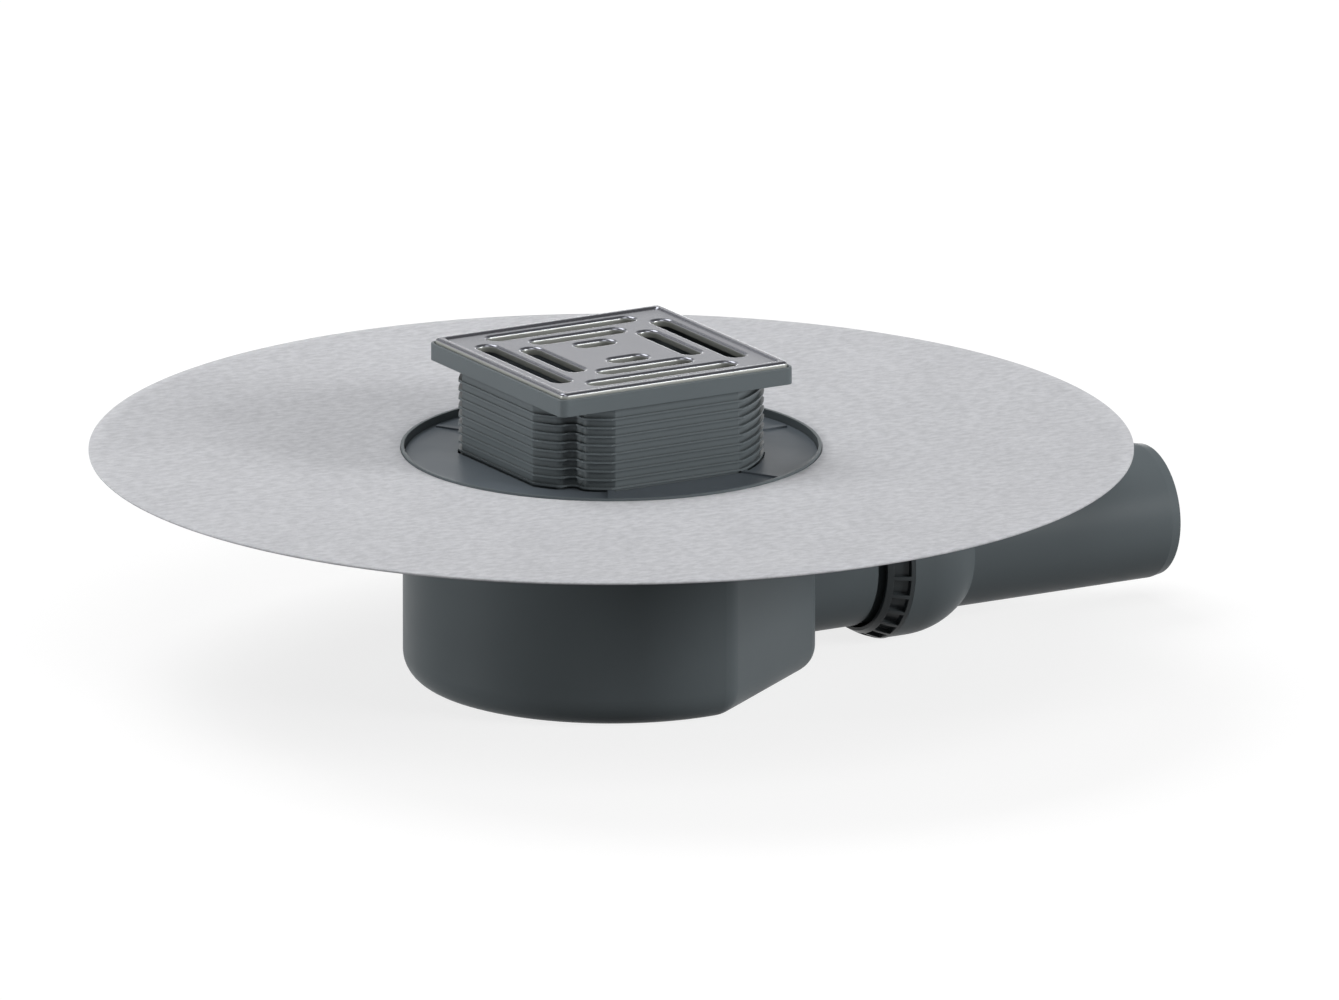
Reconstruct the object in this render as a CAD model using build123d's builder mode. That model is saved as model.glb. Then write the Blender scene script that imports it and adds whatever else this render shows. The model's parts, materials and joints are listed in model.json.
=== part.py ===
from build123d import *

import os
from math import cos, radians, sin, sqrt

# Floor drain with a side outlet. The origin is the centre of the housing's underside,
# +Z is up and the outlet points along +X. All sizes are in millimetres.

# Housing: a pot with three flats towards the outlet, under a round head.
housing_radius = 76.2
housing_wall = 3.0
outlet_flat_cut = 7.8
side_flat_cut = 9.5
side_flat_angle = 55.0
flat_corner_radius = 12.0
bottom_edge_radius = 10.6
head_depth = 10.5
head_flare = 2.1
flange_width = 19.1
flange_thickness = 2.4

# Sealing collar, bonded on the housing's flange.
collar_plane = 86.5
collar_radius = 190.8
collar_thickness = 0.9

# Recess round the riser, whose rim comes up through the collar.
rim_step = 0.7
rim_wall = 1.2
rim_rise = 0.7
recess_depth = 2.2

# Guide ring: the floor of the recess, which turns with the riser.
guide_thickness = 2.2
guide_skirt = 2.5
guide_skirt_wall = 1.8
guide_rib_angle = 60.0
guide_rib_count = 5
guide_rib_width = 2.6
guide_rib_height = 0.7
snap_depth = 0.8
snap_height = 1.2

# Riser and its square frame.
frame_half = 49.0
frame_corner_radius = 3.0
frame_height = 6.4
frame_above_collar = 34.9
frame_rim_wall = 1.2
frame_rim_round = 0.4
frame_skirt = 1.6
frame_ledge = 1.8
frame_overhang = 0.6
riser_corner_swell = 7.35
riser_below_collar = 16.5
riser_wall = 2.0
flat_rib_depth = 0.5
corner_rib_depth = 1.35
rib_pitch = 3.26
rib_height = 0.7
notch_angle = -135.0
notch_depth = 3.3
notch_radius = 3.3
notch_mouth_round = 4.0

# Lip seal that grips the riser under the guide ring.
seal_band = 3.4
seal_lip = 1.2
seal_lip_height = 0.9

# Grate: pressed sheet with a raised bead and slots drawn down at their edges.
grate_sink = 2.2
grate_rise = 1.8
grate_sheet = 1.5
grate_gap = 0.2
grate_corner_radius = 2.4
grate_bead_width = 3.1
grate_bead_rise = 0.55
grate_bead_slope = 50.0
grate_bead_round = 1.2
slot_width = 7.4
slot_edge_round = 1.2
slot_depth = 2.8
slot_margin = 10.85
slot_pitch = 12.25
outer_slot_gap = 9.9
middle_slot_gap = 8.0
centre_slot_length = 18.2

# Bowl under the riser, with the throat that takes the trap.
bowl_gasket = 1.0
bowl_flange = 2.0
bowl_room = 4.75
bowl_wall = 2.0
bowl_depth = 15.5
bowl_fall = 3.0
throat_land = 5.0
throat_radius = 41.0
throat_depth = 5.5

# Trap: a funnel with a dip tube, and the cup that holds the water seal.
trap_flange_width = 4.0
trap_flange = 1.6
trap_wall = 1.6
plug_wall = 3.9
dish_sink = 2.5
dish_fall = 1.7
dip_tube_radius = 18.6
dip_tube_end = 13.0
trap_seal_section = 1.1
weir_drop = 9.5
cup_room = 8.8
cup_foot_gap = 1.5
cup_floor = 2.0
cup_hub_height = 12.0
cup_hub_drop = 2.0
cup_arm_count = 4
grip_width = 2.4
grip_height = 4.0

# Outlet: a fixed neck that ends in a ball, and the socket pipe that swivels on it.
outlet_height = 32.5
outlet_tilt = 5.0
neck_length = 29.25
neck_radius = 26.3
neck_bore = 22.3
ball_radius = 30.0
ball_front = 14.0
ball_seal_section = 1.65
socket_wall = 2.1
socket_depth = 8.9
pipe_length = 108.6
pipe_radius = 25.0
pipe_wall = 1.8
pipe_chamfer = 3.8
pipe_chamfer_drop = 0.7

# Retaining ring behind the ball, with a row of pockets round it.
ring_wall = 3.5
ring_lip_angle = 62.0
ring_lip_length = 4.1
ring_lip_flare = 0.45
ring_sleeve = 3.0
ring_sleeve_wall = 1.1
ring_gap = 0.2
ring_back_rim = 2.1
ring_front_rim = 1.3
pocket_count = 26
pocket_depth = 1.9
pocket_rib_angle = 2.6

# Clearances between pieces that move, and between pieces that only sit together.
moving_gap = 0.3
seated_gap = 0.1
swing_gap = 0.35

# Housing, collar and guide ring: what follows from the sizes above.
outlet_flat_reach = housing_radius - outlet_flat_cut
side_flat_reach = housing_radius - side_flat_cut
pot_bore = housing_radius - housing_wall
head_seat = collar_plane - head_depth
flat_top = head_seat - housing_wall
head_radius = housing_radius + head_flare
rim_radius = housing_radius + rim_step
flange_radius = rim_radius + flange_width
flange_top = collar_plane - collar_thickness
flange_bottom = flange_top - flange_thickness
rim_top = collar_plane + rim_rise
head_bore = rim_radius - rim_wall
guide_top = collar_plane - recess_depth
guide_shelf = guide_top - guide_thickness
guide_radius = head_bore - moving_gap
guide_rib_end = pot_bore + moving_gap
skirt_bottom = guide_shelf - guide_skirt
skirt_radius = pot_bore - moving_gap
groove_bottom = guide_shelf - (guide_skirt + snap_height) / 2

# Riser, frame and grate.
frame_top = collar_plane + frame_above_collar
frame_bottom = frame_top - frame_height
riser_half = frame_half - frame_overhang
riser_corner_reach = riser_half + riser_corner_swell
riser_bottom = collar_plane - riser_below_collar
rib_count = int((frame_bottom - riser_bottom) / rib_pitch)
notch_centre = riser_corner_reach - notch_depth + notch_radius
notch_line = Vector(1, 0, 0).rotate(Axis.Z, notch_angle)
rebate_half = frame_half - frame_rim_wall
grate_half = rebate_half - grate_gap
grate_seat = frame_top - grate_sink
grate_top = frame_top + grate_rise
grate_flat = grate_top - grate_bead_rise
outer_slot_row = grate_half - slot_margin
middle_slot_row = outer_slot_row - slot_pitch
slot_reach = outer_slot_row + slot_width / 2 + slot_edge_round

# Bowl and trap.
bowl_underside = head_seat + bowl_gasket
bowl_top = bowl_underside + bowl_flange
bowl_rim_radius = head_bore - seated_gap
bowl_bore = riser_corner_reach + bowl_room
bowl_radius = bowl_bore + bowl_wall
bowl_floor = head_seat - bowl_depth
throat_floor = bowl_floor - bowl_fall
throat_bottom = throat_floor - throat_depth
plug_radius = throat_radius - seated_gap
plug_bore = plug_radius - plug_wall
seal_groove = 2 * trap_seal_section + 2 * seated_gap
seal_groove_floor = plug_radius - seal_groove
seal_groove_middle = throat_floor - throat_depth / 2
dish_level = throat_floor - dish_sink
dip_tube_bore = dip_tube_radius - trap_wall
cup_weir = throat_floor - weir_drop
cup_bore = dip_tube_radius + cup_room
cup_radius = cup_bore + trap_wall
cup_underside = housing_wall + cup_foot_gap
hub_bore = dip_tube_radius + seated_gap
hub_top = cup_weir - cup_hub_drop

# Ball joint: the neck is waisted where the tilted ring swings past it.
socket_bore = ball_radius + moving_gap
socket_radius = socket_bore + socket_wall
ring_radius = socket_bore + ring_wall
lip_offset = socket_bore * cos(radians(ring_lip_angle))
lip_bore = socket_bore * sin(radians(ring_lip_angle))
back_offset = lip_offset + ring_lip_length
back_bore = lip_bore + ring_lip_flare
back_edge = sqrt(ring_radius**2 - back_offset**2)
tilt_cos = cos(radians(outlet_tilt))
tilt_sin = sin(radians(outlet_tilt))
swing_offset = back_offset * tilt_cos + back_edge * tilt_sin + swing_gap
waist_radius = back_bore * tilt_cos - back_offset * tilt_sin - moving_gap
neck_end = outlet_flat_reach + neck_length
ball_centre = neck_end + swing_offset
ball_groove = 2 * ball_seal_section + seated_gap
socket_start = ball_centre - socket_depth
ring_back = ball_centre - back_offset
ring_front = socket_start - ring_gap
ring_end = ring_front + ring_sleeve
ring_sleeve_radius = socket_radius - ring_sleeve_wall + seated_gap
pipe_bore = pipe_radius - pipe_wall
pipe_end = ball_centre + pipe_length

outlet_line = Axis((0, 0, outlet_height), (1, 0, 0))
os.makedirs("parts", exist_ok=True)


def housing_plan(inset):
    """Plan of the pot: a circle cut by three flats, with its corners rounded."""
    with BuildSketch() as plan:
        Circle(housing_radius)
        flats = {0: outlet_flat_reach, side_flat_angle: side_flat_reach, -side_flat_angle: side_flat_reach}
        for angle, reach in flats.items():
            with PolarLocations(reach + housing_radius / 2, 1, start_angle=angle):
                Rectangle(housing_radius, 4 * housing_radius, mode=Mode.SUBTRACT)
        fillet(plan.vertices(), flat_corner_radius)
        offset(amount=-inset, mode=Mode.REPLACE)
    return plan.sketch


def riser_outline(flat_growth, corner_growth):
    """Plan of the riser, grown from its rib tips: flat sides and round corners."""
    side = 2 * (riser_half + flat_growth)
    with BuildSketch() as plan:
        Circle(riser_corner_reach + corner_growth)
        Rectangle(side, side, mode=Mode.INTERSECT)
    return plan.sketch


def riser_plan(flat_growth, corner_growth):
    """The same with the round scoop in the corner that shows which way the riser goes in."""
    mouth_round = notch_mouth_round + corner_growth
    with BuildSketch() as plan:
        add(riser_outline(flat_growth, corner_growth))
        with Locations(notch_line * notch_centre):
            Circle(notch_radius - corner_growth, mode=Mode.SUBTRACT)
        if mouth_round > 0:
            fillet(plan.vertices().sort_by_distance(notch_line * notch_centre)[:2], mouth_round)
    return plan.sketch


def slot_plan(inset):
    """Plan of the grate's slots: two nested squares of slots and a short pair in the middle."""
    width = slot_width + 2 * slot_edge_round - 2 * inset
    rows = {outer_slot_row: outer_slot_gap, middle_slot_row: middle_slot_gap}
    with BuildSketch() as plan:
        for row, gap in rows.items():
            with PolarLocations(row, 4):
                SlotOverall(2 * row - gap - 2 * inset, width, rotation=90)
        with Locations((0, slot_pitch), (0, -slot_pitch)):
            SlotOverall(centre_slot_length - 2 * inset, width)
    return plan.sketch


def square_plan(half, corner_radius):
    """Plan of a square with rounded corners."""
    with BuildSketch() as plan:
        RectangleRounded(2 * half, 2 * half, corner_radius)
    return plan.sketch


def reach_of(edge):
    """How far an edge's middle lies from the vertical axis, along X or Y."""
    return max(abs(edge.center().X), abs(edge.center().Y))


def sphere_reach(radius, offset_along):
    """Distance from the outlet's line of a sphere round the ball's centre."""
    return sqrt(radius**2 - offset_along**2)


def on_sphere(radius, offset_along):
    """Point of that sphere above the outlet's line, for a section in the XZ plane."""
    return (ball_centre + offset_along, outlet_height + sphere_reach(radius, offset_along))


def sphere_arc(radius, first, last):
    """Arc of that sphere between two offsets along the outlet's line."""
    middle = (first + last) / 2
    ThreePointArc(on_sphere(radius, first), on_sphere(radius, middle), on_sphere(radius, last))


def keep(piece, name):
    """Name a finished piece and write it out."""
    piece.part.label = name
    export_step(piece.part, f"parts/{name}.step")


# Room inside the pot, with the same rounding as outside less the wall.
with BuildPart() as pot_room:
    with BuildSketch(Plane.XY.offset(housing_wall)):
        add(housing_plan(housing_wall))
    extrude(amount=head_seat - housing_wall)
    fillet(pot_room.faces().sort_by(Axis.Z)[0].edges(), bottom_edge_radius - housing_wall)

# Housing: pot, head with flange and rim, neck and ball.
with BuildPart() as drain_body:
    with BuildSketch():
        add(housing_plan(0))
    extrude(amount=flat_top)
    fillet(drain_body.faces().sort_by(Axis.Z)[0].edges(), bottom_edge_radius)
    with BuildSketch(Plane.XZ):
        with BuildLine():
            Polyline(
                (0, flat_top),
                (housing_radius, flat_top),
                (head_radius, flat_top + head_flare),
                (head_radius, flange_bottom),
                (flange_radius, flange_bottom),
                (flange_radius, flange_top),
                (rim_radius, flange_top),
                (rim_radius, rim_top),
                (0, rim_top),
                close=True,
            )
        make_face()
    revolve(axis=Axis.Z)
    waist_end = -sphere_reach(ball_radius, waist_radius)
    with BuildSketch(Plane.XZ):
        with BuildLine():
            Polyline(
                on_sphere(ball_radius, ball_front),
                (ball_centre + ball_front, outlet_height),
                (pot_bore / 2, outlet_height),
                (pot_bore / 2, outlet_height + neck_radius),
                (neck_end, outlet_height + neck_radius),
                (neck_end, outlet_height + waist_radius),
                on_sphere(ball_radius, waist_end),
            )
            sphere_arc(ball_radius, waist_end, ball_front)
        make_face()
    revolve(axis=outlet_line)
    add(pot_room.part, mode=Mode.SUBTRACT)
    with Locations((0, 0, head_seat)):
        Cylinder(head_bore, rim_top, align=(Align.CENTER, Align.CENTER, Align.MIN), mode=Mode.SUBTRACT)
    with Locations(Location((0, 0, outlet_height), (0, 90, 0))):
        Cylinder(
            neck_bore,
            ball_centre + ball_radius,
            align=(Align.CENTER, Align.CENTER, Align.MIN),
            mode=Mode.SUBTRACT,
        )
    with BuildSketch(Plane.XZ):
        with Locations((ball_centre, outlet_height + ball_radius)):
            Rectangle(ball_groove, 2 * ball_groove)
    revolve(axis=outlet_line, mode=Mode.SUBTRACT)
keep(drain_body, "drain_body")

# Sealing collar: a flat ring of coated fleece.
with BuildPart() as sealing_collar:
    with BuildSketch(Plane.XY.offset(flange_top)):
        Circle(collar_radius)
        Circle(rim_radius + seated_gap, mode=Mode.SUBTRACT)
    extrude(amount=collar_thickness)
keep(sealing_collar, "sealing_collar")

# Bowl: hangs in the head, carries the guide ring and slopes to the trap's throat.
with BuildPart() as funnel_bowl:
    with BuildSketch(Plane.XZ):
        with BuildLine():
            Polyline(
                (bowl_rim_radius, bowl_underside),
                (bowl_radius, bowl_underside),
                (bowl_radius, bowl_floor - bowl_wall),
                (throat_radius + throat_land, throat_floor - bowl_wall),
                (throat_radius + bowl_wall, throat_floor - bowl_wall),
                (throat_radius + bowl_wall, throat_bottom),
                (throat_radius, throat_bottom),
                (throat_radius, throat_floor),
                (throat_radius + throat_land, throat_floor),
                (bowl_bore, bowl_floor),
                (bowl_bore, bowl_top),
                (pot_bore, bowl_top),
                (pot_bore, groove_bottom),
                (pot_bore + snap_depth, groove_bottom),
                (pot_bore + snap_depth, groove_bottom + snap_height),
                (pot_bore, groove_bottom + snap_height),
                (pot_bore, guide_shelf),
                (bowl_rim_radius, guide_shelf),
                close=True,
            )
        make_face()
    revolve(axis=Axis.Z)
keep(funnel_bowl, "funnel_bowl")

# Flat gasket under the bowl's flange.
with BuildPart() as bowl_seal:
    with BuildSketch(Plane.XY.offset(head_seat)):
        Circle(head_bore - seated_gap)
        Circle(pot_bore + seated_gap, mode=Mode.SUBTRACT)
    extrude(amount=bowl_gasket)
keep(bowl_seal, "bowl_seal")

# Guide ring: recess floor with ribs, the riser's opening and a snap-in skirt.
with BuildPart() as guide_ring:
    with BuildSketch(Plane.XY.offset(guide_shelf)):
        Circle(guide_radius)
    extrude(amount=guide_thickness)
    with BuildSketch(Plane.XY.offset(guide_top)):
        rib_turn = guide_rib_angle * (guide_rib_count - 1)
        with PolarLocations(guide_rib_end / 2, guide_rib_count, -rib_turn / 2, rib_turn, endpoint=True):
            Rectangle(guide_rib_end, guide_rib_width)
    extrude(amount=guide_rib_height)
    with BuildSketch(Plane.XZ):
        with BuildLine():
            Polyline(
                (skirt_radius - guide_skirt_wall, guide_shelf),
                (skirt_radius - guide_skirt_wall, skirt_bottom),
                (skirt_radius, skirt_bottom),
                (skirt_radius, groove_bottom + moving_gap),
                (skirt_radius + snap_depth, groove_bottom + moving_gap),
                (skirt_radius + snap_depth, groove_bottom + snap_height - moving_gap),
                (skirt_radius, groove_bottom + snap_height - moving_gap),
                (skirt_radius, guide_shelf),
                close=True,
            )
        make_face()
    revolve(axis=Axis.Z)
    seal_room = moving_gap + seal_band + seated_gap
    with BuildSketch(Plane.XY.offset(skirt_bottom)):
        add(riser_outline(seal_room + guide_skirt_wall, seal_room + guide_skirt_wall))
        add(riser_outline(seal_room, seal_room), mode=Mode.SUBTRACT)
    extrude(amount=guide_skirt)
    with BuildSketch(Plane.XY.offset(guide_shelf)):
        add(riser_plan(moving_gap, moving_gap))
    extrude(amount=guide_thickness + guide_rib_height, mode=Mode.SUBTRACT)
keep(guide_ring, "guide_ring")

# Lip seal round the riser, held in the guide ring's inner skirt.
with BuildPart() as riser_seal:
    with BuildSketch(Plane.XY.offset(skirt_bottom)):
        add(riser_outline(moving_gap + seal_band, moving_gap + seal_band))
        add(riser_plan(moving_gap + seal_lip, moving_gap + seal_lip), mode=Mode.SUBTRACT)
    extrude(amount=guide_skirt)
    with BuildSketch(Plane.XY.offset(guide_shelf - seal_lip_height)):
        add(riser_plan(moving_gap + seal_lip, moving_gap + seal_lip))
        add(riser_plan(moving_gap, moving_gap), mode=Mode.SUBTRACT)
    extrude(amount=seal_lip_height)
keep(riser_seal, "riser_seal")

# Riser with thin cut-off ribs, and the frame at its top.
with BuildPart() as riser_frame:
    with BuildSketch(Plane.XY.offset(frame_bottom)):
        add(square_plan(frame_half, frame_corner_radius))
    extrude(amount=frame_top - frame_bottom)
    with BuildSketch(Plane.XY.offset(frame_bottom)):
        add(square_plan(frame_half - frame_skirt, frame_corner_radius - frame_skirt))
    extrude(amount=grate_seat - frame_ledge - frame_bottom, mode=Mode.SUBTRACT)
    with BuildSketch(Plane.XY.offset(riser_bottom)):
        add(riser_plan(-flat_rib_depth, -corner_rib_depth))
    extrude(amount=grate_seat - riser_bottom)
    rib_planes = [Plane.XY.offset(frame_bottom - rib_pitch * i) for i in range(1, rib_count + 1)]
    with BuildSketch(*rib_planes):
        add(riser_plan(0, 0))
    extrude(amount=-rib_height)
    with BuildSketch(Plane.XY.offset(riser_bottom)):
        add(riser_plan(-flat_rib_depth - riser_wall, -corner_rib_depth - riser_wall))
    extrude(amount=grate_seat - riser_bottom, mode=Mode.SUBTRACT)
    with BuildSketch(Plane.XY.offset(grate_seat)):
        add(square_plan(rebate_half, frame_corner_radius - frame_rim_wall))
    extrude(amount=frame_top - grate_seat, mode=Mode.SUBTRACT)
    fillet(riser_frame.edges().group_by(Axis.Z)[-1], frame_rim_round)
keep(riser_frame, "riser_frame")

# Grate: a pressed cap whose slots have their edges rolled down.
with BuildPart() as grate:
    with BuildSketch(Plane.XY.offset(grate_flat - grate_sheet)):
        add(square_plan(grate_half, grate_corner_radius))
    extrude(amount=grate_sheet + grate_bead_rise)
    with BuildSketch(Plane.XY.offset(grate_seat)):
        add(square_plan(grate_half, grate_corner_radius))
        add(square_plan(grate_half - grate_sheet, grate_corner_radius - grate_sheet), mode=Mode.SUBTRACT)
    extrude(amount=grate_top - grate_seat)
    with BuildSketch(Plane.XY.offset(grate_flat)):
        add(square_plan(grate_half - grate_bead_width, grate_bead_round))
    extrude(amount=grate_bead_rise, taper=-grate_bead_slope, mode=Mode.SUBTRACT)
    bead_edges = grate.edges().group_by(Axis.Z)[-1]
    fillet(bead_edges.filter_by(lambda edge: reach_of(edge) > grate_half - grate_sheet), grate_bead_round)
    with BuildSketch(Plane.XY.offset(grate_flat - slot_depth)):
        add(slot_plan(0))
    extrude(amount=slot_depth)
    with BuildSketch(Plane.XY.offset(grate_flat - slot_depth)):
        add(slot_plan(slot_edge_round))
    extrude(amount=slot_depth, mode=Mode.SUBTRACT)
    flat_edges = grate.edges().filter_by_position(Axis.Z, grate_flat - seated_gap, grate_flat + seated_gap)
    fillet(flat_edges.filter_by(lambda edge: reach_of(edge) < slot_reach), slot_edge_round)
keep(grate, "grate")

# Trap funnel: plug with a seal groove, shallow dish, dip tube and a grip across the mouth.
with BuildPart() as trap_funnel:
    with BuildSketch(Plane.XZ):
        with BuildLine():
            Polyline(
                (throat_radius + trap_flange_width, throat_floor + trap_flange),
                (throat_radius + trap_flange_width, throat_floor),
                (plug_radius, throat_floor),
                (plug_radius, seal_groove_middle + seal_groove / 2),
                (seal_groove_floor, seal_groove_middle + seal_groove / 2),
                (seal_groove_floor, seal_groove_middle - seal_groove / 2),
                (plug_radius, seal_groove_middle - seal_groove / 2),
                (plug_radius, throat_bottom),
                (plug_bore, throat_bottom),
                (plug_bore, dish_level - trap_wall),
                (dip_tube_radius + trap_wall, dish_level - dish_fall - trap_wall),
                (dip_tube_radius, dish_level - dish_fall - 2 * trap_wall),
                (dip_tube_radius, dip_tube_end),
                (dip_tube_bore, dip_tube_end),
                (dip_tube_bore, dish_level - dish_fall - trap_wall),
                (dip_tube_bore + trap_wall, dish_level - dish_fall),
                (plug_bore, dish_level),
                (plug_bore, throat_floor),
                (plug_bore + trap_flange, throat_floor + trap_flange),
                close=True,
            )
        make_face()
    revolve(axis=Axis.Z)
    with Locations((0, 0, throat_floor)):
        Box(
            2 * plug_bore + trap_wall,
            grip_width,
            grip_height,
            align=(Align.CENTER, Align.CENTER, Align.MAX),
        )
keep(trap_funnel, "trap_funnel")

# Ring seal in the plug's groove.
with BuildPart() as trap_seal:
    with Locations((0, 0, seal_groove_middle)):
        Torus(plug_radius - trap_seal_section, trap_seal_section)
keep(trap_seal, "trap_seal")

# Trap cup: wall and floor, with a hub on arms that clips on the dip tube.
with BuildPart() as trap_cup:
    with Locations((0, 0, cup_underside)):
        Cylinder(cup_radius, cup_weir - cup_underside, align=(Align.CENTER, Align.CENTER, Align.MIN))
    with Locations((0, 0, cup_underside + cup_floor)):
        Cylinder(
            cup_bore,
            cup_weir - cup_underside - cup_floor,
            align=(Align.CENTER, Align.CENTER, Align.MIN),
            mode=Mode.SUBTRACT,
        )
    with BuildSketch(Plane.XY.offset(hub_top)):
        with PolarLocations((hub_bore + cup_radius) / 2, cup_arm_count, start_angle=45):
            Rectangle(cup_radius - hub_bore - trap_wall / 2, trap_wall)
        Circle(hub_bore + trap_wall)
        Circle(hub_bore, mode=Mode.SUBTRACT)
    extrude(amount=-cup_hub_height)
keep(trap_cup, "trap_cup")

# Ring seal in the ball's groove.
with BuildPart() as ball_seal:
    with Locations(Location((ball_centre, 0, outlet_height), (0, 90, 0))):
        Torus(ball_radius - ball_seal_section, ball_seal_section)
keep(ball_seal, "ball_seal")

# Outlet pipe: socket over the ball, narrowing to the plain spigot.
with BuildPart() as outlet_pipe:
    pipe_join = sphere_reach(socket_radius, pipe_radius)
    bore_join = sphere_reach(socket_bore, pipe_bore)
    with BuildSketch(Plane.XZ):
        with BuildLine():
            Polyline(
                on_sphere(socket_bore, 0),
                (ring_end + seated_gap, outlet_height + socket_bore),
                (ring_end + seated_gap, outlet_height + ring_sleeve_radius + seated_gap),
                (socket_start, outlet_height + ring_sleeve_radius + seated_gap),
                (socket_start, outlet_height + socket_radius),
                on_sphere(socket_radius, 0),
            )
            sphere_arc(socket_radius, 0, pipe_join)
            Polyline(
                on_sphere(socket_radius, pipe_join),
                (pipe_end - pipe_chamfer, outlet_height + pipe_radius),
                (pipe_end, outlet_height + pipe_radius - pipe_chamfer_drop),
                (pipe_end, outlet_height + pipe_bore),
                on_sphere(socket_bore, bore_join),
            )
            sphere_arc(socket_bore, bore_join, 0)
        make_face()
    revolve(axis=outlet_line)
keep(outlet_pipe, "outlet_pipe")

# One pocket of the retaining ring.
with BuildPart() as ring_pocket:
    pocket_floor = ring_radius - pocket_depth
    pocket_start = ring_back_rim - back_offset
    pocket_stop = ring_front - ring_front_rim - ball_centre
    with BuildSketch(Plane.XZ):
        with BuildLine():
            sphere_arc(pocket_floor, pocket_start, pocket_stop)
            Polyline(
                on_sphere(pocket_floor, pocket_stop),
                (ball_centre + pocket_stop, outlet_height + 2 * ring_radius),
                (ball_centre + pocket_start, outlet_height + 2 * ring_radius),
                on_sphere(pocket_floor, pocket_start),
            )
        make_face()
    revolve(axis=outlet_line, revolution_arc=360 / pocket_count - pocket_rib_angle)

# Retaining ring: holds the ball from behind, its sleeve clipped in the socket.
with BuildPart() as retaining_ring:
    front = ring_front - ball_centre
    end = ring_end - ball_centre
    with BuildSketch(Plane.XZ):
        with BuildLine():
            sphere_arc(ring_radius, -back_offset, front)
            Polyline(
                on_sphere(ring_radius, front),
                (ring_front, outlet_height + ring_sleeve_radius),
                (ring_end, outlet_height + ring_sleeve_radius),
                on_sphere(socket_bore, end),
            )
            sphere_arc(socket_bore, end, -lip_offset)
            Polyline(
                on_sphere(socket_bore, -lip_offset),
                (ring_back, outlet_height + back_bore),
                on_sphere(ring_radius, -back_offset),
            )
        make_face()
    revolve(axis=outlet_line)
    pockets = [ring_pocket.part.rotate(outlet_line, i * 360 / pocket_count) for i in range(pocket_count)]
    add(pockets, mode=Mode.SUBTRACT)
keep(retaining_ring, "retaining_ring")
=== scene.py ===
import json
import math

import bmesh
import bpy
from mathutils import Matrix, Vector


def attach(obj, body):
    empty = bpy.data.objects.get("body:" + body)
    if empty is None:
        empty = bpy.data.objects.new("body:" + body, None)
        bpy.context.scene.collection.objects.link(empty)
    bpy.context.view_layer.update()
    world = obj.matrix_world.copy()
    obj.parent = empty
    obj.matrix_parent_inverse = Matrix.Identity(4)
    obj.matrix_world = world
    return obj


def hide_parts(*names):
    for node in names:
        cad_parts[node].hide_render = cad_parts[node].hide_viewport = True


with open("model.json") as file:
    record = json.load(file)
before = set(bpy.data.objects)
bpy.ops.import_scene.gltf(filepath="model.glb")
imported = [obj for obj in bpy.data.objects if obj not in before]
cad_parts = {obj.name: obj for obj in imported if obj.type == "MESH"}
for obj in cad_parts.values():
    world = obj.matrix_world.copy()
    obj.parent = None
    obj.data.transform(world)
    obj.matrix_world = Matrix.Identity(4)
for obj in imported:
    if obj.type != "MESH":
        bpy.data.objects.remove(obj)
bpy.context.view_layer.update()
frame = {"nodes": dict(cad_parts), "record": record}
nodes = frame["nodes"]
mm = 0.001
print("frame loaded:", len(nodes), "nodes")


# Camera: far off with a long lens, so the view is all but parallel.
camera = {
    "azimuth": -30,  # degrees; the outlet points to the right and away
    "elevation": 15,
    "frameWidth": 488.7 * mm,  # what the picture spans at the object
    "lens": 1200,
    "sensor": 36,
    "aimHeight": 86.5 * mm,  # the collar's plane
    "shiftRight": 21.26 * mm,
    "shiftDown": 19.5 * mm,
    "clip": (0.5, 3),  # nearest and farthest seen, in camera distances
}


def makeCamera(spec):
    az, el = math.radians(spec["azimuth"]), math.radians(spec["elevation"])
    back = Vector((math.sin(az) * math.cos(el), -math.cos(az) * math.cos(el), math.sin(el)))
    right = Vector((math.cos(az), math.sin(az), 0))
    up = back.cross(right)
    data = bpy.data.cameras.new("camera")
    data.lens = spec["lens"]
    data.sensor_width = spec["sensor"]
    distance = spec["frameWidth"] * spec["lens"] / spec["sensor"]
    data.clip_start, data.clip_end = distance * spec["clip"][0], distance * spec["clip"][1]
    aim = Vector((0, 0, spec["aimHeight"])) + right * spec["shiftRight"] - up * spec["shiftDown"]
    obj = bpy.data.objects.new("camera", data)
    obj.location = aim + back * distance
    obj.rotation_euler = (-back).to_track_quat("-Z", "Y").to_euler()
    bpy.context.scene.collection.objects.link(obj)
    bpy.context.scene.camera = obj


makeCamera(camera)
print("camera ready")


# Node helpers.
def newMaterial(name):
    mat = bpy.data.materials.new(name)
    mat.use_nodes = True
    return mat, mat.node_tree, mat.node_tree.nodes["Principled BSDF"]


def feed(tree, socket, value):
    if isinstance(value, bpy.types.NodeSocket):
        tree.links.new(value, socket)
    else:
        socket.default_value = value


def addNode(tree, kind, settings=None, **inputs):
    node = tree.nodes.new(kind)
    for key, value in (settings or {}).items():
        setattr(node, key, value)
    for key, value in inputs.items():
        feed(tree, node.inputs[key], value)
    return node


def rgba(colour, factor=1.0):
    return (colour[0] * factor, colour[1] * factor, colour[2] * factor, 1)


def objectSpace(tree, scale=(1, 1, 1), turn=0):
    coords = addNode(tree, "ShaderNodeTexCoord").outputs["Object"]
    spin = (0, 0, math.radians(turn))
    mapping = addNode(tree, "ShaderNodeMapping", Vector=coords, Scale=scale, Rotation=spin)
    return mapping.outputs["Vector"]


def noise(tree, vector, scale, detail=4.0, roughness=0.55):
    kind = "ShaderNodeTexNoise"
    node = addNode(tree, kind, Vector=vector, Scale=scale, Detail=detail, Roughness=roughness)
    return node.outputs["Fac"]


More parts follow.
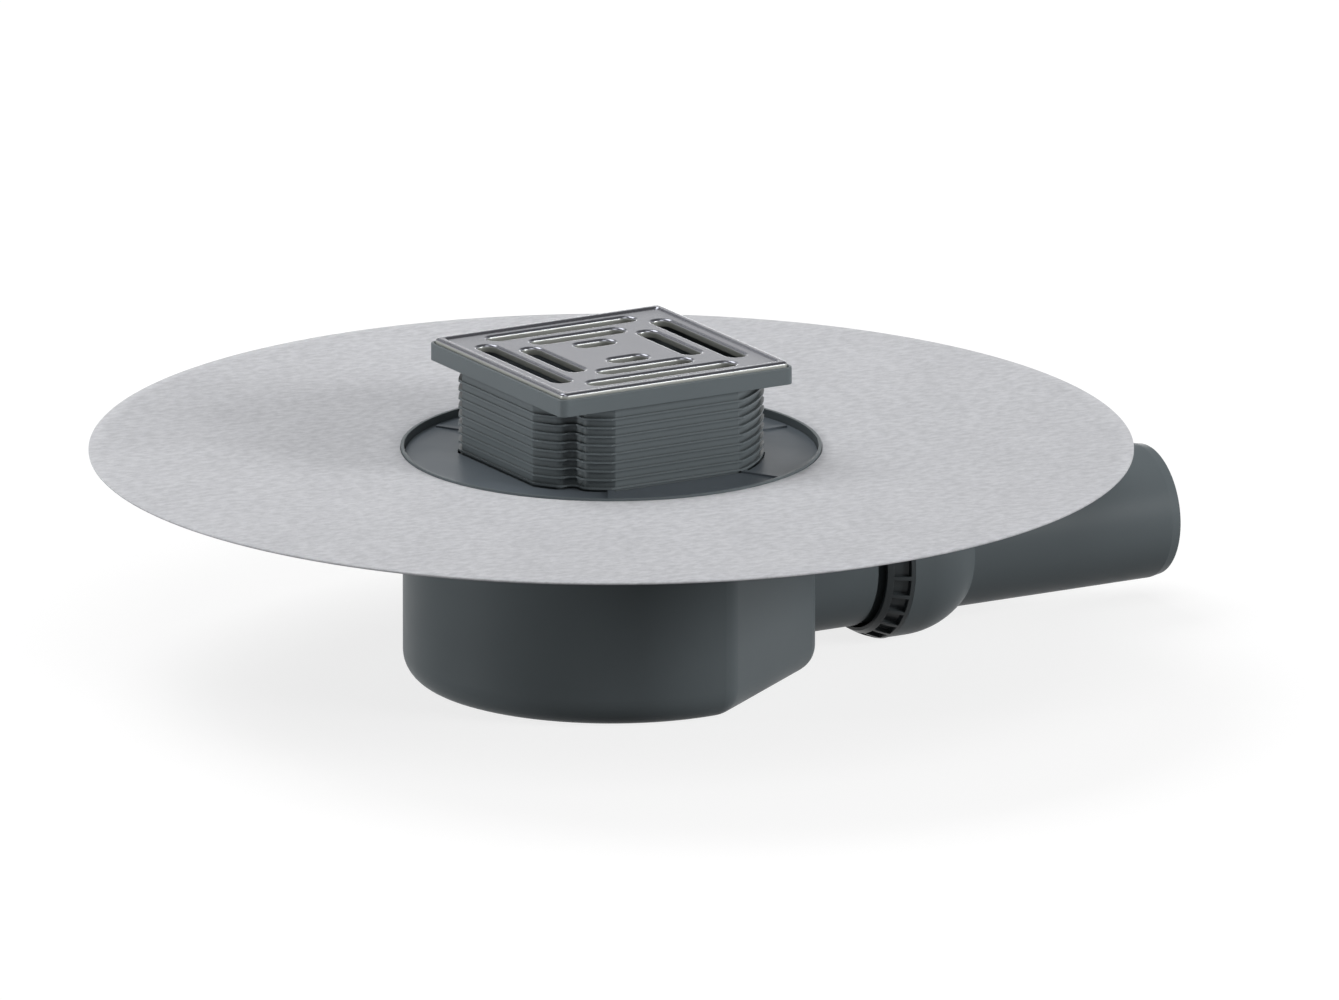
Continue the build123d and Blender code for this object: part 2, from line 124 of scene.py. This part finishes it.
noiseBand = (0.3, 0.7)  # where most values of a noise texture lie


def ramp(tree, factor, low, high, band=noiseBand):
    node = addNode(tree, "ShaderNodeValToRGB", Fac=factor)
    for element, place, colour in zip(node.color_ramp.elements, band, (low, high)):
        element.position = place
        element.color = colour
    return node.outputs["Color"]


def blendColours(tree, factor, first, second, kind="MIX"):
    node = addNode(tree, "ShaderNodeMix", {"data_type": "RGBA", "blend_type": kind})
    for index, value in ((0, factor), (6, first), (7, second)):  # the mix node's colour sockets
        feed(tree, node.inputs[index], value)
    return node.outputs[2]


def mapRange(tree, value, band, span):
    limits = {"From Min": band[0], "From Max": band[1], "To Min": span[0], "To Max": span[1]}
    return addNode(tree, "ShaderNodeMapRange", Value=value, **limits).outputs["Result"]


def combine(tree, operation, first, second):
    node = addNode(tree, "ShaderNodeMath", {"operation": operation})
    tree.links.new(first, node.inputs[0])
    tree.links.new(second, node.inputs[1])
    return node.outputs[0]


# Moulded plastic: even colour with slight flow clouds, a fine spark-eroded grain and soft edges, and,
# where a reach is given, painted shade in the corners between ribs.
# "shine" is the specular level, and "edge" the radius to which sharp edges are rounded.
housingPlastic = {
    "colour": (0.119, 0.138, 0.147),
    "clouds": 0.05,
    "rough": 0.38,
    "shine": 0.05,
    "grain": 0.05,
    "edge": 0.5 * mm,
}
recessPlastic = {
    "colour": (0.100, 0.118, 0.135),
    "clouds": 0.05,
    "rough": 0.40,
    "shine": 0.15,
    "grain": 0.08,
    "edge": 0.25 * mm,
}
riserPlastic = {
    "colour": (0.118, 0.138, 0.146),
    "clouds": 0.05,
    "rough": 0.38,
    "shine": 0.20,
    "grain": 0.06,
    "edge": 0.12 * mm,
    "paintedShadeReach": 1.6 * mm,  # how far the painted shade reaches out of the corners between the ribs
    "paintedShadeBand": (0.45, 1.0),  # openness of a closed corner and of a plain face
    # share of the colour that the painted shade leaves in a closed corner
    "paintedShadeTone": 0.5,
}
ringPlastic = {
    "colour": (0.050, 0.058, 0.062),
    "clouds": 0.05,
    "rough": 0.34,
    "shine": 0.22,
    "grain": 0.08,
    "edge": 0.3 * mm,
}
innerPlastic = {
    "colour": (0.045, 0.050, 0.054),
    "clouds": 0.05,
    "rough": 0.42,
    "shine": 0.30,
    "grain": 0.08,
    "edge": 0.3 * mm,
}
moulding = {  # what all moulded plastics share
    "cloudScale": 14,
    "patchScale": 45,
    "patchRough": (-0.03, 0.04),
    "grainScale": 2600,
    "grainDepth": 0.06 * mm,
}


def mouldedPlastic(name, spec):
    mat, tree, shader = newMaterial(name)
    place = objectSpace(tree)
    clouds = noise(tree, place, moulding["cloudScale"], detail=3)
    low, high = rgba(spec["colour"], 1 - spec["clouds"]), rgba(spec["colour"], 1 + spec["clouds"])
    shade = ramp(tree, clouds, low, high)
    # Painted shade: the base colour darkens towards black in the corners between the ribs, by how closed
    # in each point is.
    if "paintedShadeReach" in spec:
        ownCorners = {"samples": 8, "only_local": True}
        corners = addNode(tree, "ShaderNodeAmbientOcclusion", ownCorners, Distance=spec["paintedShadeReach"])
        tones = (spec["paintedShadeTone"], 1.0)
        openness = mapRange(tree, corners.outputs["AO"], spec["paintedShadeBand"], tones)
        shade = blendColours(tree, openness, rgba((0, 0, 0)), shade)
    tree.links.new(shade, shader.inputs["Base Color"])
    patches = noise(tree, place, moulding["patchScale"], detail=2)
    rough = [spec["rough"] + change for change in moulding["patchRough"]]
    tree.links.new(mapRange(tree, patches, noiseBand, rough), shader.inputs["Roughness"])
    grain = noise(tree, place, moulding["grainScale"], detail=2)
    depth = moulding["grainDepth"]
    bump = addNode(tree, "ShaderNodeBump", Height=grain, Strength=spec["grain"], Distance=depth)
    rounded = addNode(tree, "ShaderNodeBevel", {"samples": 6}, Radius=spec["edge"])
    tree.links.new(rounded.outputs["Normal"], bump.inputs["Normal"])
    tree.links.new(bump.outputs["Normal"], shader.inputs["Normal"])
    shader.inputs["Specular IOR Level"].default_value = spec["shine"]
    return mat


# Rubber for the seals, with a slight bloom.
sealRubber = {
    "colour": (0.018, 0.018, 0.019),
    "bloom": 1.7,
    "bloomScale": 60,
    "bloomBand": (0.35, 0.75),
    "rough": 0.6,
    "grain": 0.25,
    "grainScale": 1800,
    "grainDepth": 0.05 * mm,
}


def rubber(name, spec):
    mat, tree, shader = newMaterial(name)
    place = objectSpace(tree)
    bloom = noise(tree, place, spec["bloomScale"], detail=5)
    black, bloomed = rgba(spec["colour"]), rgba(spec["colour"], spec["bloom"])
    shade = ramp(tree, bloom, black, bloomed, spec["bloomBand"])
    tree.links.new(shade, shader.inputs["Base Color"])
    grain = noise(tree, place, spec["grainScale"])
    depth = spec["grainDepth"]
    bump = addNode(tree, "ShaderNodeBump", Height=grain, Strength=spec["grain"], Distance=depth)
    tree.links.new(bump.outputs["Normal"], shader.inputs["Normal"])
    shader.inputs["Roughness"].default_value = spec["rough"]
    return mat


# Pressed stainless steel: satin on the flats, with painted shade on surfaces that lean sideways, such as
# the drawn-down slot walls and the bead's slopes, which get a duller, darker-looking steel.
steel = {
    "flat": (0.222, 0.227, 0.254),
    "drawn": (0.33, 0.34, 0.315),
    "clouds": 0.04,
    "cloudScale": 40,
    "flatRough": 0.22,
    "drawnRough": 0.42,
    "drawnMetal": 0.35,
    "bend": (0.10, 0.55),  # upward lean below which a surface gets all the painted shade, and above which it is all satin flat
    "rolled": (1, 26, 26),  # stretch of the rolling marks
    "rolledScale": 220,
    "rolledRough": (-0.02, 0.03),
    "edge": 0.4 * mm,
}


def satinSteel(name, spec):
    mat, tree, shader = newMaterial(name)
    normal = addNode(tree, "ShaderNodeTexCoord").outputs["Normal"]
    facing = addNode(tree, "ShaderNodeSeparateXYZ", Vector=normal)
    # Painted shade: the more a surface leans sideways, the less metal it has, the rougher it is and the
    # duller its colour.
    level = mapRange(tree, facing.outputs["Z"], spec["bend"], (0, 1))
    clouds = noise(tree, objectSpace(tree), spec["cloudScale"], detail=3)
    low, high = rgba(spec["flat"], 1 - spec["clouds"]), rgba(spec["flat"], 1 + spec["clouds"])
    flat = ramp(tree, clouds, low, high)
    shade = blendColours(tree, level, rgba(spec["drawn"]), flat)
    tree.links.new(shade, shader.inputs["Base Color"])
    metal = mapRange(tree, level, (0, 1), (spec["drawnMetal"], 1.0))
    tree.links.new(metal, shader.inputs["Metallic"])
    smooth = mapRange(tree, level, (0, 1), (spec["drawnRough"], spec["flatRough"]))
    rolled = noise(tree, objectSpace(tree, scale=spec["rolled"]), spec["rolledScale"], detail=3)
    marks = mapRange(tree, rolled, noiseBand, spec["rolledRough"])
    tree.links.new(combine(tree, "ADD", smooth, marks), shader.inputs["Roughness"])
    rounded = addNode(tree, "ShaderNodeBevel", {"samples": 12}, Radius=spec["edge"])
    tree.links.new(rounded.outputs["Normal"], shader.inputs["Normal"])
    return mat


# Coated fleece: pale grey, mottled by its fibres, which lie in soft streaks.
fleece = {
    "pale": (0.625, 0.631, 0.658),
    "deep": (0.500, 0.506, 0.532),
    "mottleScale": 300,
    "mottleBand": (0.36, 0.64),
    "mottleStretch": (0.75, 1.25, 1),
    "mottleTurn": 4,  # degrees
    "cloudScale": 38,
    "cloudTone": ((0.96, 0.96, 0.962), (1.025, 1.025, 1.025)),
    "fibreScale": 900,
    "fibreLayers": [((1, 7, 1), -35), ((7, 1, 1), 15)],  # stretch and turn of each
    "fibreBand": (0.7, 1.3),  # range of both layers' sum
    "fibreTone": ((0.93, 0.93, 0.93), (1.05, 1.05, 1.05)),
    "relief": 0.25,
    "reliefDepth": 0.1 * mm,
    "rough": 0.85,
    "sheen": 0.15,
    "sheenRough": 0.5,
}


def coatedFleece(name, spec):
    mat, tree, shader = newMaterial(name)
    streaks = objectSpace(tree, scale=spec["mottleStretch"], turn=spec["mottleTurn"])
    tufts = noise(tree, streaks, spec["mottleScale"], detail=5, roughness=0.6)
    clouds = noise(tree, objectSpace(tree), spec["cloudScale"], detail=4)
    layers = []
    for stretch, turn in spec["fibreLayers"]:
        along = objectSpace(tree, scale=stretch, turn=turn)
        layers.append(noise(tree, along, spec["fibreScale"], detail=4, roughness=0.7))
    felt = combine(tree, "ADD", layers[0], layers[1])
    mottled = ramp(tree, tufts, rgba(spec["deep"]), rgba(spec["pale"]), spec["mottleBand"])
    darkCloud, paleCloud = spec["cloudTone"]
    clouded = ramp(tree, clouds, rgba(darkCloud), rgba(paleCloud))
    darkFibre, paleFibre = spec["fibreTone"]
    threads = mapRange(tree, felt, spec["fibreBand"], (0, 1))
    threaded = ramp(tree, threads, rgba(darkFibre), rgba(paleFibre), (0, 1))
    shade = blendColours(tree, 1.0, mottled, clouded, "MULTIPLY")
    shade = blendColours(tree, 1.0, shade, threaded, "MULTIPLY")
    tree.links.new(shade, shader.inputs["Base Color"])
    depth = spec["reliefDepth"]
    bump = addNode(tree, "ShaderNodeBump", Height=felt, Strength=spec["relief"], Distance=depth)
    tree.links.new(bump.outputs["Normal"], shader.inputs["Normal"])
    shader.inputs["Roughness"].default_value = spec["rough"]
    shader.inputs["Sheen Weight"].default_value = spec["sheen"]
    shader.inputs["Sheen Roughness"].default_value = spec["sheenRough"]
    return mat


finishes = {
    "housing_plastic": mouldedPlastic("housing plastic", housingPlastic),
    "recess_plastic": mouldedPlastic("recess plastic", recessPlastic),
    "riser_plastic": mouldedPlastic("riser plastic", riserPlastic),
    "ring_plastic": mouldedPlastic("ring plastic", ringPlastic),
    "inner_plastic": mouldedPlastic("inner plastic", innerPlastic),
    "seal_rubber": rubber("seal rubber", sealRubber),
    "steel": satinSteel("satin steel", steel),
    "fleece": coatedFleece("coated fleece", fleece),
}
for part in frame["record"]["subparts"]:
    mesh = nodes[part["node"]].data
    mesh.materials.clear()
    mesh.materials.append(finishes[part["material_slot"]])
print("materials assigned")


# Collar: one flat sheet of fleece with a cut edge, lying on the housing's flange.
collar = {
    "outer": 190.8 * mm,
    "inner": 77.0 * mm,
    "under": 85.6 * mm,
    "top": 86.5 * mm,
    "edge": 0.25 * mm,  # rounding of the cut edge
    "turns": 256,
    "rings": 24,
    "ripple": 0.06 * mm,  # the fleece is never quite flat
    "swells": ((3, 90), (5, -60)),  # ripples round the collar, and their shift in radians a metre
}


def collarSheet(spec):
    mesh = bmesh.new()
    edge, top, under, inner, outer = (spec[key] for key in ("edge", "top", "under", "inner", "outer"))
    section = [(inner, under + edge), (inner, top - edge), (inner + edge, top)]
    for i in range(1, spec["rings"]):
        section.append((inner + (outer - inner) * i / spec["rings"], top))
    section += [(outer - edge, top), (outer, top - edge), (outer, under + edge)]
    section += [(outer - edge, under), (inner + edge, under)]
    (longTurns, longPhase), (shortTurns, shortPhase) = spec["swells"]
    columns = []
    for turn in range(spec["turns"]):
        angle = 2 * math.pi * turn / spec["turns"]
        column = []
        for reach, height in section:
            longSwell = math.sin(longTurns * angle + reach * longPhase)
            swell = longSwell * math.cos(shortTurns * angle + reach * shortPhase)
            inside = inner + edge * 2 < reach < outer - edge * 2
            lift = -spec["ripple"] * (0.5 + 0.5 * swell) if inside else 0
            place = (reach * math.cos(angle), reach * math.sin(angle), height + lift)
            column.append(mesh.verts.new(place))
        columns.append(column)
    for turn, column in enumerate(columns):
        beyond = columns[(turn + 1) % spec["turns"]]
        for i in range(len(section)):
            j = (i + 1) % len(section)
            mesh.faces.new((column[i], beyond[i], beyond[j], column[j]))
    bmesh.ops.recalc_face_normals(mesh, faces=mesh.faces)
    data = bpy.data.meshes.new("collar_sheet")
    mesh.to_mesh(data)
    mesh.free()
    data.shade_smooth()
    obj = bpy.data.objects.new("collar_sheet", data)
    bpy.context.scene.collection.objects.link(obj)
    data.materials.append(finishes["fleece"])
    return obj


collarPiece = collarSheet(collar)
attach(collarPiece, "housing")
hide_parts("sealing_collar")
print("collar made")


# Studio: a pale floor that keeps the shadow, a soft sky, and lamps in front, behind and at the sides.
studio = {
    "floorSize": 60.0,
    "floorColour": (0.26, 0.26, 0.26),
    "floorRough": 0.9,
    "floorGlow": 0.80,  # lifts the unshaded floor to white where it is seen or mirrored
    "floorBounce": (0.03, 0.03, 0.03),  # colour that the floor throws back onto the object
    "sky": 0.16,
    "skyOverhead": 0.28,  # what polished surfaces mirror straight above; white at the horizon
    "skyBand": (0.24, 0.55),  # height of a direction at which the mirrored sky starts and ends darkening
}
lamps = {
    "leftStrip": {"at": (-3.5, 1.27, 0.17), "size": (0.14, 0.32), "watts": 60},
    "rightPanel": {"at": (2.7, -3.2, 1.2), "size": (1.5, 1.6), "watts": 118},
    "frontPanel": {"at": (-1.5, -2.6, 4.3), "size": (3.0, 3.0), "watts": 66},
    "backPanel": {"at": (-0.3, 1.1, 1.7), "size": (1.4, 1.0), "watts": 22},
    "backStrip": {"at": (2.12, 3.39, 0.25), "size": (2.0, 0.5), "watts": 11},
}
lampAim = (0, 0, 50 * mm)  # all lamps look at the middle of the drain


def seenDirectly(tree):
    path = addNode(tree, "ShaderNodeLightPath").outputs
    seen = combine(tree, "MAXIMUM", path["Is Camera Ray"], path["Is Glossy Ray"])
    return combine(tree, "MAXIMUM", seen, path["Is Transmission Ray"])


def splitBySight(tree, hidden, seen, outputName):
    pick = addNode(tree, "ShaderNodeMixShader")
    tree.links.new(seenDirectly(tree), pick.inputs[0])
    tree.links.new(hidden.outputs[0], pick.inputs[1])
    tree.links.new(seen.outputs[0], pick.inputs[2])
    tree.links.new(pick.outputs[0], tree.nodes[outputName].inputs["Surface"])


def makeFloor(spec):
    half = spec["floorSize"] / 2
    corners = [(-half, -half, 0), (half, -half, 0), (half, half, 0), (-half, half, 0)]
    data = bpy.data.meshes.new("floor")
    data.from_pydata(corners, [], [(0, 1, 2, 3)])
    obj = bpy.data.objects.new("floor", data)
    bpy.context.scene.collection.objects.link(obj)
    mat, tree, shader = newMaterial("pale floor")
    shader.inputs["Base Color"].default_value = rgba(spec["floorColour"])
    shader.inputs["Roughness"].default_value = spec["floorRough"]
    shader.inputs["Specular IOR Level"].default_value = 0.0
    glow = addNode(tree, "ShaderNodeEmission", Color=(1, 1, 1, 1), Strength=spec["floorGlow"])
    total = addNode(tree, "ShaderNodeAddShader")
    tree.links.new(shader.outputs[0], total.inputs[0])
    tree.links.new(glow.outputs[0], total.inputs[1])
    bounce = addNode(tree, "ShaderNodeBsdfDiffuse", Color=rgba(spec["floorBounce"]))
    splitBySight(tree, bounce, total, "Material Output")
    data.materials.append(mat)


def makeSky(spec):
    world = bpy.data.worlds.new("studio")
    world.use_nodes = True
    tree = world.node_tree
    plain = tree.nodes["Background"]
    plain.inputs["Color"].default_value = (1, 1, 1, 1)
    plain.inputs["Strength"].default_value = spec["sky"]
    direction = addNode(tree, "ShaderNodeTexCoord").outputs["Generated"]
    height = addNode(tree, "ShaderNodeSeparateXYZ", Vector=direction).outputs["Z"]
    fade = mapRange(tree, height, spec["skyBand"], (1.0, spec["skyOverhead"]))
    bright = addNode(tree, "ShaderNodeBackground", Color=(1, 1, 1, 1), Strength=fade)
    splitBySight(tree, plain, bright, "World Output")
    bpy.context.scene.world = world


def makeLamp(name, spec):
    data = bpy.data.lights.new(name, "AREA")
    data.shape = "RECTANGLE"
    data.size, data.size_y = spec["size"]
    data.energy = spec["watts"]
    obj = bpy.data.objects.new(name, data)
    obj.location = spec["at"]
    towards = Vector(lampAim) - Vector(spec["at"])
    obj.rotation_euler = towards.to_track_quat("-Z", "Y").to_euler()
    bpy.context.scene.collection.objects.link(obj)


makeFloor(studio)
makeSky(studio)
for lampName, lampSpec in lamps.items():
    makeLamp(lampName, lampSpec)
bpy.context.scene.view_settings.view_transform = "Standard"
print("studio ready")
